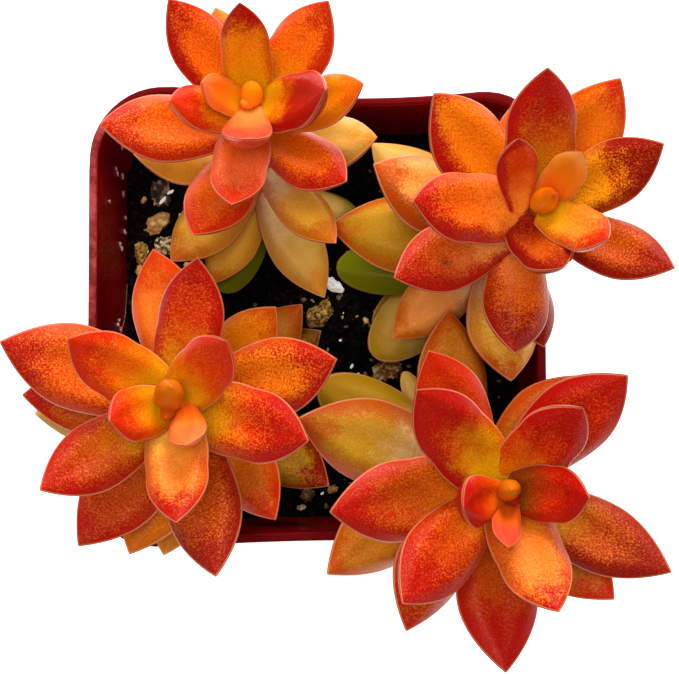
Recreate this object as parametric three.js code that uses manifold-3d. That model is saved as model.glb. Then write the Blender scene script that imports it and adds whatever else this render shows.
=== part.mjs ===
// A fleshy-leaved sedum: four rooted shoots in a square nursery pot.
// Millimetres, +Z up. The origin is the middle of the pot's base, where it stands.

import * as THREE from "three";
import { mergeVertices } from "three/addons/utils/BufferGeometryUtils.js";
import Module from "manifold-3d";

const wasm = await Module();
wasm.setup();

// Driving dimensions
const POT = {
  rimWidth: 57,
  baseWidth: 42,
  height: 57,
  wall: 1.0,
  floor: 1.4,
  rimCorner: 8.5,
  baseCorner: 7,
  collarHeight: 8,
  collarStep: 0.7,
  drainRadius: 3,
  drainPlace: 11.5,
};
const SOIL = { top: 43, mound: 0.5, grain: 0.4, cells: 15 };
const STEM = { rootRadius: 2.1, crownRadius: 1.35, buried: 9, corners: 8 };
const LEAF = {
  widthByLength: 0.46,
  thickByWidth: 0.42,
  incurve: 14,
  widest: 0.56,
  footWidth: 0.42,
};
const CLEAR = 0.4;

// A leaf's depth below the crown grows with its rank, because the stem between
// older leaves has stretched. The bare gap is where the coloured head ends.
const SPACING = { first: 0.39, byRank: 0.274, bySquare: 0.038, bareGap: 1.4 };

const LOOKS = {
  pot: { color: 0x6e1216, roughness: 0.4, metalness: 0 },
  soil: { color: 0x15110c, roughness: 0.95, metalness: 0 },
  pumice: { color: 0xb79468, roughness: 0.9, metalness: 0 },
  perlite: { color: 0xdedad0, roughness: 0.85, metalness: 0 },
  bark: { color: 0x4a2a1a, roughness: 0.9, metalness: 0 },
  youngLeaf: { color: 0xe0561c, roughness: 0.4, metalness: 0 },
  oldLeaf: { color: 0xcf9a45, roughness: 0.42, metalness: 0 },
};

// Each shoot's stem runs from its root at the soil to its crown. Its leaves go
// from the youngest at the crown to the oldest at the foot. A leaf is its bearing
// (anticlockwise from +X), its rise above the level, its length from the stem's
// middle to its tip and, where it isn't the usual share of that, its width. The
// first `young` of them are the coloured head, and the rest start a line below.
const SHOOTS = {
  shoot_back_left: {
    root: [-7.9, 13.0],
    crown: [-6.9, 23.5, 77],
    young: 15,
    leaves: [
      [250, 80, 5, 3.4], [77, 72, 6.5, 3.8], [268, 64, 11, 5.6], [165, 56, 9.5], [0, 52, 14.5],
      [94, 48, 15, 5.8], [184, 50, 13.5, 5.8], [265, 40, 15, 6.4], [52, 30, 17], [127, 28, 17.5, 7.5],
      [11, 36, 16.5, 6.6], [184, 22, 19], [325, 32, 16], [108, 28, 15.8], [243, 32, 17.5],
      [358, 27, 16.5], [84, 26, 13.5], [184, 23, 16], [311, 25, 16.5, 6.2], [230, 15, 17],
      [300, 0, 18], [245, -2, 15], [256, -6, 14.5],
    ],
  },
  shoot_back_right: {
    root: [17.4, 5.7],
    crown: [26.5, 11.3, 79],
    young: 16,
    leaves: [
      [240, 80, 5, 3.6], [60, 79, 6.2, 4], [125, 45, 12, 5.2], [325, 50, 12.5], [53, 48, 10],
      [265, 48, 12.5], [89, 36, 18], [180, 36, 18], [300, 46, 11.5, 5.5], [335, 26, 18.5, 7.2],
      [27, 28, 18, 7.8], [131, 26, 19.6, 9.6], [57, 24, 20], [205, 26, 19.3, 8.4], [264, 28, 18],
      [89, 24, 16.5],
      [156, 16, 19.5, 9.6], [284, 22, 15.5, 6.4], [176, 2, 22, 10.2], [143, 0, 20.5, 9.4], [274, 12, 17.4, 8.6],
      [221, 0, 17, 7.6], [187, -6, 20.5], [221, -8, 19], [212, -10, 20],
    ],
  },
  shoot_front_left: {
    root: [-12, -10],
    crown: [-15.8, -11.3, 79.5],
    young: 17,
    leaves: [
      [262, 74, 5, 3.2], [60, 76, 6, 3.6], [300, 60, 10.5, 5.2], [200, 52, 10], [44, 44, 13.5],
      [276, 34, 16], [147, 36, 16], [345, 28, 18.5], [78, 26, 18.5], [214, 26, 19.5],
      [15, 20, 20.5], [284, 20, 21.5], [161, 14, 22.5], [100, 16, 19], [234, 12, 21],
      [177, 9, 19.7], [47, 20, 16.5],
      [248, 14, 20], [305, 12, 17.5], [184, 16, 20.4], [257, 15, 19.7], [326, 0, 18.5],
      [47, 0, 17], [34, -4, 17],
    ],
  },
  shoot_front_right: {
    root: [11.5, -15.2],
    crown: [22.5, -21.3, 79],
    young: 16,
    leaves: [
      [290, 76, 5.6, 3.4], [80, 76, 6.5, 3.8], [195, 58, 10.5, 6], [267, 52, 9.5], [357, 44, 11],
      [132, 32, 18], [49, 42, 16.5], [293, 36, 17.5], [187, 20, 21], [228, 30, 19.5],
      [42, 22, 20.6], [334, 12, 22.4, 8.6], [273, 12, 21.8], [116, 26, 19], [317, 8, 20],
      [48, 10, 17],
      [162, 8, 23], [246, 4, 20.5], [215, 6, 21.4], [96, -4, 19], [149, -4, 21],
      [119, -7, 14.5, 5],
    ],
  },
};

// Loose stones on the soil: place, half sizes, turn about Z and kind.
const STONES = {
  bark_chip: { at: [-21.2, 17.2], half: [1.4, 1.9, 0.9], turn: 8, look: "bark" },
  pumice_back_left_long: { at: [-21.8, 13.2], half: [2.0, 1.15, 1.2], turn: 40, look: "pumice" },
  pumice_back_left_round: { at: [-20.5, 10.3], half: [1.55, 1.3, 1.1], turn: 15, look: "pumice" },
  pumice_left_edge: { at: [-23.8, 9.2], half: [0.9, 1.45, 0.9], turn: 0, look: "pumice" },
  pumice_middle: { at: [-0.2, 1.2], half: [2.1, 1.45, 1.3], turn: 50, look: "pumice" },
  perlite_flake: { at: [1.5, 5.1], half: [1.25, 0.65, 0.55], turn: -30, look: "perlite" },
  pumice_middle_right: { at: [8.6, -6.2], half: [2.3, 1.5, 1.2], turn: 20, look: "pumice" },
  pumice_front_large: { at: [-1.8, -22.4], half: [0.9, 0.9, 0.8], turn: 30, look: "pumice" },
  pumice_front_small: { at: [-2.6, -24.0], half: [0.7, 0.5, 0.55], turn: 0, look: "pumice" },
};

const degrees = THREE.MathUtils.degToRad;
const lerp = THREE.MathUtils.lerp;

function solidOf(geometry) {
  const bare = geometry.clone();
  bare.deleteAttribute("normal");
  bare.deleteAttribute("uv");
  const merged = mergeVertices(bare, 1e-4);
  return new wasm.Manifold(
    new wasm.Mesh({
      numProp: 3,
      vertProperties: new Float32Array(merged.attributes.position.array),
      triVerts: new Uint32Array(merged.index.array),
    }),
  );
}

function meshOf(name, solid, look) {
  const { vertProperties, triVerts } = solid.getMesh();
  const geometry = new THREE.BufferGeometry();
  geometry.setAttribute("position", new THREE.BufferAttribute(vertProperties, 3));
  geometry.setIndex(new THREE.BufferAttribute(triVerts, 1));
  geometry.computeVertexNormals();
  const mesh = new THREE.Mesh(geometry, new THREE.MeshStandardMaterial(look));
  mesh.name = name;
  return mesh;
}

// Moves every vertex of a geometry by a function of its place.
function reshape(geometry, move) {
  const position = geometry.attributes.position;
  const point = new THREE.Vector3();
  for (let i = 0; i < position.count; i += 1) {
    point.fromBufferAttribute(position, i);
    move(point);
    position.setXYZ(i, point.x, point.y, point.z);
  }
  return geometry;
}

// The pot

// A square with round corners, centred on the origin.
function roundedSquare(width, corner) {
  const inner = width / 2 - corner;
  const outline = new THREE.Shape();
  outline.absarc(inner, inner, corner, 0, 0.5 * Math.PI);
  outline.absarc(-inner, inner, corner, 0.5 * Math.PI, Math.PI);
  outline.absarc(-inner, -inner, corner, Math.PI, 1.5 * Math.PI);
  outline.absarc(inner, -inner, corner, 1.5 * Math.PI, 2 * Math.PI);
  outline.closePath();
  return outline;
}

// A block with round corners that widens from one level to another.
function taperedBlock(low, high) {
  const geometry = new THREE.ExtrudeGeometry(roundedSquare(low.width, low.corner), {
    depth: 1,
    bevelEnabled: false,
    curveSegments: 3,
  });
  const lowInner = low.width / 2 - low.corner;
  const highInner = high.width / 2 - high.corner;
  const spread = (value) => {
    const intoCorner = (Math.abs(value) - lowInner) * (high.corner / low.corner);
    return Math.sign(value) * (highInner + intoCorner);
  };
  reshape(geometry, (p) => {
    if (p.z < 0.5) {
      p.z = low.z;
    } else {
      p.set(spread(p.x), spread(p.y), high.z);
    }
  });
  return solidOf(geometry);
}

// The pot's wall at a level, moved inwards by an inset.
function potSection(z, inset) {
  const share = z / POT.height;
  const rim = POT.rimWidth - 2 * POT.collarStep;
  return {
    z,
    width: lerp(POT.baseWidth, rim, share) - 2 * inset,
    corner: lerp(POT.baseCorner, POT.rimCorner, share) - inset,
  };
}

function makePot() {
  const body = taperedBlock(potSection(0, 0), potSection(POT.height, 0));
  const collarFoot = potSection(POT.height - POT.collarHeight, -POT.collarStep);
  const collar = taperedBlock(collarFoot, potSection(POT.height, -POT.collarStep));
  const aboveRim = potSection(POT.height + 1, POT.wall - POT.collarStep);
  const hollow = taperedBlock(potSection(POT.floor, POT.wall), aboveRim);
  let pot = body.add(collar).subtract(hollow);
  for (const [sideX, sideY] of [[1, 1], [-1, 1], [-1, -1], [1, -1]]) {
    const drain = new THREE.CylinderGeometry(POT.drainRadius, POT.drainRadius, 3 * POT.floor, 12);
    drain.rotateX(Math.PI / 2);
    drain.translate(sideX * POT.drainPlace, sideY * POT.drainPlace, POT.floor / 2);
    pot = pot.subtract(solidOf(drain));
  }
  return pot;
}

// The shoots

function stemCurve(shoot) {
  const [rootX, rootY] = shoot.root;
  const [crownX, crownY, crownZ] = shoot.crown;
  return new THREE.QuadraticBezierCurve3(
    new THREE.Vector3(rootX, rootY, SOIL.top),
    new THREE.Vector3(lerp(rootX, crownX, 0.8), lerp(rootY, crownY, 0.8), lerp(SOIL.top, crownZ, 0.45)),
    new THREE.Vector3(crownX, crownY, crownZ),
  );
}

// A round stem between two depths below the crown. It may go on into the soil.
function makeStem(shoot, { top, bottom, radius, buried = 0 }) {
  const curve = stemCurve(shoot);
  const steps = 5;
  const points = [];
  if (buried > 0) {
    points.push(new THREE.Vector3(shoot.root[0], shoot.root[1], SOIL.top - buried));
  }
  for (let i = 0; i <= steps; i += 1) {
    points.push(curve.getPointAt(1 - lerp(bottom, top, i / steps) / curve.getLength()));
  }
  const section = new THREE.Shape();
  section.absarc(0, 0, radius, 0, 2 * Math.PI);
  const geometry = new THREE.ExtrudeGeometry(section, {
    steps,
    extrudePath: new THREE.CatmullRomCurve3(points),
    curveSegments: STEM.corners / 2,
    bevelEnabled: false,
  });
  return solidOf(geometry);
}

// How far below the crown leaf number `rank` grows, along the stem.
function leafDepth(shoot, rank) {
  const gap = rank < shoot.young ? 0 : SPACING.bareGap;
  return SPACING.first + SPACING.byRank * rank + SPACING.bySquare * rank * rank + gap;
}

// The leaf's width at a share of its length, as a share of its widest.
function leafFullness(share) {
  if (share < LEAF.widest) {
    const swell = Math.sin((share / LEAF.widest) * (Math.PI / 2)) ** 1.4;
    return lerp(LEAF.footWidth, 1, swell);
  }
  const run = (share - LEAF.widest) / (1 - LEAF.widest);
  return 1 - run ** 1.65;
}

// Where along a leaf its sections lie, and a section's points, across in half
// widths and up in thicknesses: a slightly hollow top, and a keel below.
const LEAF_STATIONS = [0, 0.06, 0.32, 0.54, 0.73, 0.89, 1];
const LEAF_SECTION = [[1, 0], [0, -0.05], [-1, 0], [-0.64, -0.66], [0, -1], [0.64, -0.66]];

function makeLeaf({ foot, out, up, length, width }) {
  const bands = LEAF_STATIONS.length - 1;
  const sides = LEAF_SECTION.length;
  const side = new THREE.Vector3().crossVectors(up, out);
  const turn = degrees(LEAF.incurve);
  const bendRadius = length / (2 * Math.sin(turn / 2));
  const leaf = new THREE.SphereGeometry(1, sides, bands);
  reshape(leaf, (p) => {
    const band = Math.round((Math.acos(THREE.MathUtils.clamp(p.y, -1, 1)) / Math.PI) * bands);
    const round = Math.atan2(p.z, p.x) / (2 * Math.PI);
    const corner = (Math.round(round * sides) + sides) % sides;
    const atEnd = band === 0 || band === bands;
    const fullness = atEnd ? 0 : leafFullness(LEAF_STATIONS[band]);
    const [across, height] = LEAF_SECTION[corner];
    const angle = (LEAF_STATIONS[band] - 0.5) * turn;
    p.copy(foot)
      .addScaledVector(out, bendRadius * (Math.sin(turn / 2) + Math.sin(angle)))
      .addScaledVector(up, bendRadius * (Math.cos(turn / 2) - Math.cos(angle)))
      .addScaledVector(side, across * fullness * (width / 2))
      .addScaledVector(up, height * fullness * width * LEAF.thickByWidth);
  });
  return solidOf(leaf);
}

function placeLeaf(shoot, rank) {
  const [bearing, rise, length, width = length * LEAF.widthByLength] = shoot.leaves[rank];
  const curve = stemCurve(shoot);
  const share = 1 - leafDepth(shoot, rank) / curve.getLength();
  const axis = curve.getTangentAt(share);
  const out = new THREE.Vector3(
    Math.cos(degrees(bearing)) * Math.cos(degrees(rise)),
    Math.sin(degrees(bearing)) * Math.cos(degrees(rise)),
    Math.sin(degrees(rise)),
  );
  const up = axis.addScaledVector(out, -axis.dot(out)).normalize();
  return makeLeaf({ foot: curve.getPointAt(share), out, up, length, width });
}

// Where the coloured head ends and the older stem begins.
function splitDepth(shoot) {
  return leafDepth(shoot, shoot.young - 1) + SPACING.bareGap;
}

function makeRosette(shoot) {
  let rosette = makeStem(shoot, {
    top: SPACING.first / 2,
    bottom: splitDepth(shoot),
    radius: STEM.crownRadius,
  });
  for (let rank = 0; rank < shoot.young; rank += 1) {
    rosette = rosette.add(placeLeaf(shoot, rank));
  }
  return rosette;
}

function makeLowerStem(shoot) {
  let stem = makeStem(shoot, {
    top: splitDepth(shoot) + CLEAR,
    bottom: stemCurve(shoot).getLength(),
    radius: STEM.rootRadius,
    buried: STEM.buried,
  });
  for (let rank = shoot.young; rank < shoot.leaves.length; rank += 1) {
    stem = stem.add(placeLeaf(shoot, rank));
  }
  return stem;
}

// The soil and its stones

function soilHeight(x, y) {
  const mounds = Math.sin(0.31 * x + 1.2) * Math.cos(0.27 * y - 0.6) + 0.6 * Math.sin(0.9 * x - 0.7 * y);
  const grains = Math.sin(2.1 * x + 0.4) * Math.sin(1.9 * y + 1.1);
  return SOIL.top + SOIL.mound * mounds + SOIL.grain * grains;
}

// An uneven stone, half sunk in the soil, or its dent when it is grown a little.
function makeStone(stone, grown) {
  const [x, y] = stone.at;
  const [halfX, halfY, halfZ] = stone.half;
  const geometry = new THREE.IcosahedronGeometry(1, 1);
  reshape(geometry, (p) => {
    const bump = Math.sin(4.1 * p.x + x) * Math.sin(3.7 * p.y + y) + Math.sin(3.3 * p.z + x * y);
    p.multiplyScalar(1 + 0.09 * bump);
    p.set(p.x * (halfX + grown), p.y * (halfY + grown), p.z * (halfZ + grown));
  });
  geometry.rotateZ(degrees(stone.turn));
  geometry.translate(x, y, soilHeight(x, y) + 0.35 * halfZ);
  return solidOf(geometry);
}

function makeSoil() {
  const reach = POT.rimWidth;
  const top = new THREE.BoxGeometry(reach, reach, SOIL.top, SOIL.cells, SOIL.cells, 1);
  reshape(top, (p) => {
    p.z = p.z > 0 ? soilHeight(p.x, p.y) : 0;
  });
  const inset = POT.wall + CLEAR;
  const fill = taperedBlock(potSection(POT.floor + CLEAR, inset), potSection(POT.height, inset));
  let soil = fill.intersect(solidOf(top));
  for (const shoot of Object.values(SHOOTS)) {
    const hole = makeStem(shoot, {
      top: splitDepth(shoot),
      bottom: stemCurve(shoot).getLength(),
      radius: STEM.rootRadius + CLEAR,
      buried: STEM.buried + CLEAR,
    });
    soil = soil.subtract(hole);
  }
  for (const stone of Object.values(STONES)) {
    soil = soil.subtract(makeStone(stone, CLEAR));
  }
  return soil;
}

const group = new THREE.Group();
group.add(meshOf("pot", makePot(), LOOKS.pot));
group.add(meshOf("soil", makeSoil(), LOOKS.soil));
for (const [name, stone] of Object.entries(STONES)) {
  group.add(meshOf(name, makeStone(stone, 0), LOOKS[stone.look]));
}
for (const [name, shoot] of Object.entries(SHOOTS)) {
  group.add(meshOf(`${name}_stem`, makeLowerStem(shoot), LOOKS.oldLeaf));
  group.add(meshOf(`${name}_rosette`, makeRosette(shoot), LOOKS.youngLeaf));
}

export default group;
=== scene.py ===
# %% [markdown]
# # A sedum in its square pot
#
# Four leggy shoots of a fleshy-leaved sedum stand in a small dark red nursery
# pot. The CAD model already holds every piece in its place and at its real size,
# in metres. This lesson gives each piece the form and the finish of the real one:
# plump leaves with a keel, a thin moulded pot, and gritty soil.
#
# The CAD model comes in first and stays where it is. Each finer piece then takes
# the place of one of its nodes.

# %% Load the CAD model
import math
import random

import bmesh
import bpy
from mathutils import Matrix, Vector


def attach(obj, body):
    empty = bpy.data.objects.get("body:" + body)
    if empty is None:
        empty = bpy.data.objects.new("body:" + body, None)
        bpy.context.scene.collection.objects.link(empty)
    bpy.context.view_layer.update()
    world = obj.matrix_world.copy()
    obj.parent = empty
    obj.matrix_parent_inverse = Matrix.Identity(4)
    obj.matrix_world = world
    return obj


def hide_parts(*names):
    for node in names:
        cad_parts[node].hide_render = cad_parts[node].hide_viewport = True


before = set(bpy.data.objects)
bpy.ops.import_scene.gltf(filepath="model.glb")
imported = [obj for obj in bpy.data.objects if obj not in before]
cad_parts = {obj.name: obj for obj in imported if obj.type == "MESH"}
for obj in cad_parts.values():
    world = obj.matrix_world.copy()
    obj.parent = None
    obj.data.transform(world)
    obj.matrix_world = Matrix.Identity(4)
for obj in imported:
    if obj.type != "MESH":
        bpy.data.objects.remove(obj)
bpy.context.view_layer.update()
MM = 0.001
print("CAD nodes:", len(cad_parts))

# %% [markdown]
# ## The camera
#
# The picture looks down on the pot from 25 cm above its rim, a little from the
# front and the right. The camera could be aimed by turning it through three
# angles. It is simpler to say where the eye is and what it looks at, and to keep
# the picture's right side along the pot's front, because then both places can be
# read in millimetres.

# %% Place the camera
EYE = Vector((10.0, -16.0, 307.0)) * MM
AIM = Vector((2.7, -2.5, 57.0)) * MM
SENSOR_MM, LENS_MM = 36, 107.17

bpy.ops.object.camera_add(location=EYE)
camera = bpy.context.object
ahead = (AIM - EYE).normalized()
rightward = (Vector((1, 0, 0)) - ahead * ahead.x).normalized()
upward = rightward.cross(ahead)
facing = Matrix((rightward, upward, -ahead)).transposed().to_4x4()
camera.matrix_world = Matrix.Translation(EYE) @ facing
camera.data.sensor_fit = "HORIZONTAL"
camera.data.sensor_width = SENSOR_MM
camera.data.lens = LENS_MM
bpy.context.scene.camera = camera
bpy.context.scene.view_settings.view_transform = "Standard"
print("Camera is", round((AIM - EYE).length / MM), "mm from the middle of the rim")

# %% [markdown]
# ## Working by hand
#
# Blender's operators act on whatever is selected. So each piece starts with
# nothing selected, and its points and edges are picked by where they lie. A
# finished piece keeps its place in its mesh, rides on the pot's body and stands
# for its CAD node.

# %% Helpers for selecting and finishing
def let_go():
    """Leaves edit mode and deselects everything."""
    if bpy.context.object and bpy.context.object.mode != "OBJECT":
        bpy.ops.object.mode_set(mode="OBJECT")
    bpy.ops.object.select_all(action="DESELECT")


def take_up(*pieces):
    """Selects these pieces alone and makes the first one active."""
    let_go()
    for piece in pieces:
        piece.select_set(True)
    bpy.context.view_layer.objects.active = pieces[0]


def pick(piece, kind, test):
    """In edit mode, selects the points, edges or faces for which the test holds."""
    bpy.ops.mesh.select_mode(type={"verts": "VERT", "edges": "EDGE", "faces": "FACE"}[kind])
    bpy.ops.mesh.select_all(action="DESELECT")
    cage = bmesh.from_edit_mesh(piece.data)
    for element in getattr(cage, kind):
        if test(element):
            element.select_set(True)
    bmesh.update_edit_mesh(piece.data)


def apply_modifier(piece, kind, **settings):
    """Adds a modifier to the piece and applies it at once."""
    take_up(piece)
    modifier = piece.modifiers.new(kind.lower(), kind)
    for setting, value in settings.items():
        setattr(modifier, setting, value)
    bpy.ops.object.modifier_apply(modifier=modifier.name)


def shade_smoothly(piece, angle=None):
    take_up(piece)
    if angle is None:
        bpy.ops.object.shade_smooth()
    else:
        bpy.ops.object.shade_smooth_by_angle(angle=math.radians(angle))


def join(name, pieces):
    take_up(*pieces)
    bpy.ops.object.join()
    pieces[0].name = name
    return pieces[0]


def draw_tube(points, radius, vertices=14, turn=(0, 0, 0), rib=1.0):
    """A tube along some points; every second ring is wider by the rib. In metres."""
    let_go()
    bpy.ops.mesh.primitive_circle_add(
        vertices=vertices, radius=radius, fill_type="NGON", location=points[0], rotation=turn
    )
    tube = bpy.context.object
    bpy.ops.object.transform_apply()
    bpy.ops.object.mode_set(mode="EDIT")
    bpy.ops.mesh.select_all(action="SELECT")
    for i, (here, there) in enumerate(zip(points, points[1:])):
        bpy.ops.mesh.extrude_region_move(TRANSFORM_OT_translate={"value": there - here})
        swell = rib if i % 2 else 1 / rib
        bpy.ops.transform.resize(value=(swell, swell, 1), center_override=there)
    bpy.ops.mesh.select_all(action="SELECT")
    bpy.ops.mesh.normals_make_consistent(inside=False)
    let_go()
    apply_modifier(tube, "SUBSURF", levels=1, render_levels=1)
    shade_smoothly(tube)
    return tube


def hand_over(piece, name, slot, *nodes):
    """Names a finished piece, sets it on the pot's body and lets it stand for its nodes."""
    piece.name = name
    piece.data.name = name
    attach(piece, "root")
    if nodes:
        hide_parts(*nodes)
    piece.data.calc_loop_triangles()
    print(f"{name}: {len(piece.data.loop_triangles)} triangles")
    return piece


print("Helpers are ready")

# %% [markdown]
# ## Paints and nodes
#
# A shader works in linear light, while a colour read from a picture is in the
# 0 to 255 steps of a screen. `paint` turns one into the other. The other
# helpers place a node and feed its sockets, so that each finish below reads as a
# short list of what it is made of.

# %% Helpers for finishes
def paint(red, green, blue):
    """A screen colour, 0 to 255, as the linear colour that a shader takes."""
    def linear(step):
        share = step / 255
        return share / 12.92 if share < 0.04 else ((share + 0.055) / 1.055) ** 2.4

    return (linear(red), linear(green), linear(blue), 1.0)


def place_node(tree, kind, inputs=None, **settings):
    node = tree.nodes.new(kind)
    for setting, value in settings.items():
        setattr(node, setting, value)
    for socket, value in (inputs or {}).items():
        if isinstance(value, bpy.types.NodeSocket):
            tree.links.new(value, node.inputs[socket])
        else:
            node.inputs[socket].default_value = value
    return node


def maths(tree, operation, *values):
    node = place_node(tree, "ShaderNodeMath", dict(enumerate(values)), operation=operation)
    return node.outputs[0]


def soft_step(tree, value, low, high):
    """0 below low, 1 above high, and a smooth rise between them."""
    inputs = {"Value": value, "From Min": low, "From Max": high}
    node = place_node(tree, "ShaderNodeMapRange", inputs, interpolation_type="SMOOTHSTEP")
    return node.outputs[0]


def mix_colours(tree, share, first, second):
    inputs = {0: share, 6: first, 7: second}
    return place_node(tree, "ShaderNodeMix", inputs, data_type="RGBA").outputs[2]


def attribute(tree, name):
    return place_node(tree, "ShaderNodeAttribute", attribute_name=name)


def start_group(name, inputs, outputs):
    """An empty node group with its named sockets."""
    group = bpy.data.node_groups.new(name, "ShaderNodeTree")
    for label, value in inputs.items():
        kind = "NodeSocketColor" if isinstance(value, tuple) else "NodeSocketFloat"
        socket = group.interface.new_socket(label, in_out="INPUT", socket_type=kind)
        socket.default_value = value
    for label, kind in outputs.items():
        group.interface.new_socket(label, in_out="OUTPUT", socket_type=kind)
    taken = group.nodes.new("NodeGroupInput").outputs
    given = group.nodes.new("NodeGroupOutput")
    return group, taken, given


def use_group(tree, group, **inputs):
    node = tree.nodes.new("ShaderNodeGroup")
    node.node_tree = group
    for label, value in inputs.items():
        socket = node.inputs[label.replace("_", " ")]
        if isinstance(value, bpy.types.NodeSocket):
            tree.links.new(value, socket)
        else:
            socket.default_value = value
    return node.outputs


def start_finish(name, **sockets):
    """A new material, with the values that are the same all over set on its shader."""
    material = bpy.data.materials.new(name)
    material.use_nodes = True
    shader = material.node_tree.nodes["Principled BSDF"]
    for label, value in sockets.items():
        shader.inputs[label.replace("_", " ")].default_value = value
    return material, material.node_tree, shader


def add_relief(tree, shader, height, depth):
    """Feeds a height through a Bump node; depth is in metres."""
    bump = place_node(tree, "ShaderNodeBump", {"Height": height, "Distance": depth})
    tree.links.new(bump.outputs[0], shader.inputs["Normal"])


print("Paints and nodes are ready")

# %% [markdown]
# ## One cloud for every finish
#
# Skin, plastic, peat and stone all vary from place to place, each at its own
# scale. One node group makes that variation: a noise with a size in millimetres,
# stretched so that it runs from 0 to 1. Every finish below uses it.

# %% Make the cloud group
cloud_group, taken, given = start_group(
    "cloud",
    {"Size mm": 1.0, "Detail": 2.0, "Contrast": 1.0},
    {"Value": "NodeSocketFloat"},
)
here = place_node(cloud_group, "ShaderNodeTexCoord").outputs["Object"]
scale = maths(cloud_group, "DIVIDE", 1000.0, taken["Size mm"])
noise = place_node(
    cloud_group, "ShaderNodeTexNoise", {"Vector": here, "Scale": scale, "Detail": taken["Detail"]}
).outputs[0]
half_span = maths(cloud_group, "DIVIDE", 0.22, taken["Contrast"])
low = maths(cloud_group, "SUBTRACT", 0.5, half_span)
high = maths(cloud_group, "ADD", 0.5, half_span)
cloud_group.links.new(soft_step(cloud_group, noise, low, high), given.inputs[0])


def cloud(tree, size, detail=2.0, contrast=1.0):
    return use_group(tree, cloud_group, Size_mm=size, Detail=detail, Contrast=contrast)[0]


print("Node group:", cloud_group.name)

# %% [markdown]
# ## The pot
#
# The real pot is one thin moulding: a square cup with round corners that widens
# upwards, with a collar 8 mm deep round its rim. It could be cut from blocks, but
# a moulding is easier to draw as it is made, as one skin. A plane of the rim's
# size gets round corners and is drawn downwards, level by level, to the base. Its
# first face is taken away, and the open edge that it leaves is then drawn inwards
# over the rim and down the inside.
#
# The long sides are cut into short edges first, because the real walls bow a
# little inwards at the rim.

# %% Draw the outside of the pot
RIM_WIDTH, BASE_WIDTH, POT_HEIGHT = 57.0, 42.0, 57.0
RIM_CORNER = 8.5
COLLAR_HEIGHT, COLLAR_STEP = 8.0, 0.7
POT_FLOOR, POT_WALL = 1.4, 1.0


def wall_width(z):
    """How wide the pot is at a level, below its collar."""
    return BASE_WIDTH + (RIM_WIDTH - 2 * COLLAR_STEP - BASE_WIDTH) * z / POT_HEIGHT


def hollow_width(z):
    """How wide the pot is inside at a level."""
    low = wall_width(POT_FLOOR) - 2 * POT_WALL
    high = wall_width(POT_HEIGHT + 1) - 2 * (POT_WALL - COLLAR_STEP)
    return low + (high - low) * (z - POT_FLOOR) / (POT_HEIGHT + 1 - POT_FLOOR)


def draw_to(width, z):
    """Extrudes what is selected to another level and another width."""
    global pen_width, pen_z
    bpy.ops.mesh.extrude_region_move(TRANSFORM_OT_translate={"value": (0, 0, (z - pen_z) * MM)})
    share = width / pen_width
    bpy.ops.transform.resize(value=(share, share, 1), center_override=(0, 0, z * MM))
    pen_width, pen_z = width, z


let_go()
bpy.ops.mesh.primitive_plane_add(size=RIM_WIDTH * MM, location=(0, 0, POT_HEIGHT * MM))
pot = bpy.context.object
bpy.ops.object.transform_apply()
bpy.ops.object.mode_set(mode="EDIT")
bpy.ops.mesh.select_all(action="SELECT")
bpy.ops.mesh.bevel(
    offset=RIM_CORNER * MM, offset_type="ABSOLUTE", segments=10, affect="VERTICES"
)
pick(pot, "edges", lambda edge: edge.calc_length() > 0.02)
bpy.ops.mesh.subdivide(number_cuts=19)

bpy.ops.mesh.select_all(action="SELECT")
pen_width, pen_z = RIM_WIDTH, POT_HEIGHT
collar_foot = POT_HEIGHT - COLLAR_HEIGHT
for z in (54.5, 52, collar_foot):
    draw_to(wall_width(z) + 2 * COLLAR_STEP, z)
draw_to(wall_width(collar_foot), collar_foot)
for z in (45, 40, 34, 26, 14, 0):
    draw_to(wall_width(z), z)
pick(pot, "faces", lambda face: face.calc_center_median().z > (POT_HEIGHT - 0.1) * MM)
bpy.ops.mesh.delete(type="ONLY_FACE")
print("Outside drawn, base", BASE_WIDTH, "mm wide")

# %% [markdown]
# The inside starts from the open edge of the collar. The last loop at the floor
# is filled with a face, and four round holes are cut through the floor with a
# Boolean, as the water has to leave somewhere.

# %% Draw the inside and drill the floor
pick(pot, "edges", lambda edge: edge.is_boundary)
pen_width, pen_z = RIM_WIDTH, POT_HEIGHT
draw_to(hollow_width(POT_HEIGHT), POT_HEIGHT)
for z in (54.5, 52, 49, 45, 40, 34, 26, 14, POT_FLOOR):
    draw_to(hollow_width(z), z)
bpy.ops.mesh.edge_face_add()
bpy.ops.mesh.select_all(action="SELECT")
bpy.ops.mesh.normals_make_consistent(inside=False)
let_go()

DRAIN_RADIUS, DRAIN_PLACE = 3.0, 11.5
drills = []
for side_x, side_y in ((1, 1), (-1, 1), (-1, -1), (1, -1)):
    place = Vector((side_x * DRAIN_PLACE, side_y * DRAIN_PLACE, 0)) * MM
    bpy.ops.mesh.primitive_cylinder_add(
        vertices=32, radius=DRAIN_RADIUS * MM, depth=6 * MM, location=place
    )
    drills.append(bpy.context.object)
drill = join("drill", drills)
apply_modifier(pot, "BOOLEAN", object=drill, solver="EXACT")
bpy.data.objects.remove(drill)
print("Pot has", len(pot.data.polygons), "faces")

# %% [markdown]
# The soft plastic is pulled in a little in the middle of its walls, most at the
# back. Its back and left sides stand out a little, and the corner between them is
# blunter. The same small push is used later for the soil, which touches the wall,
# so it is a function of the place. A Bevel modifier then rounds the rim and the
# collar as a mould does.

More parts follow.
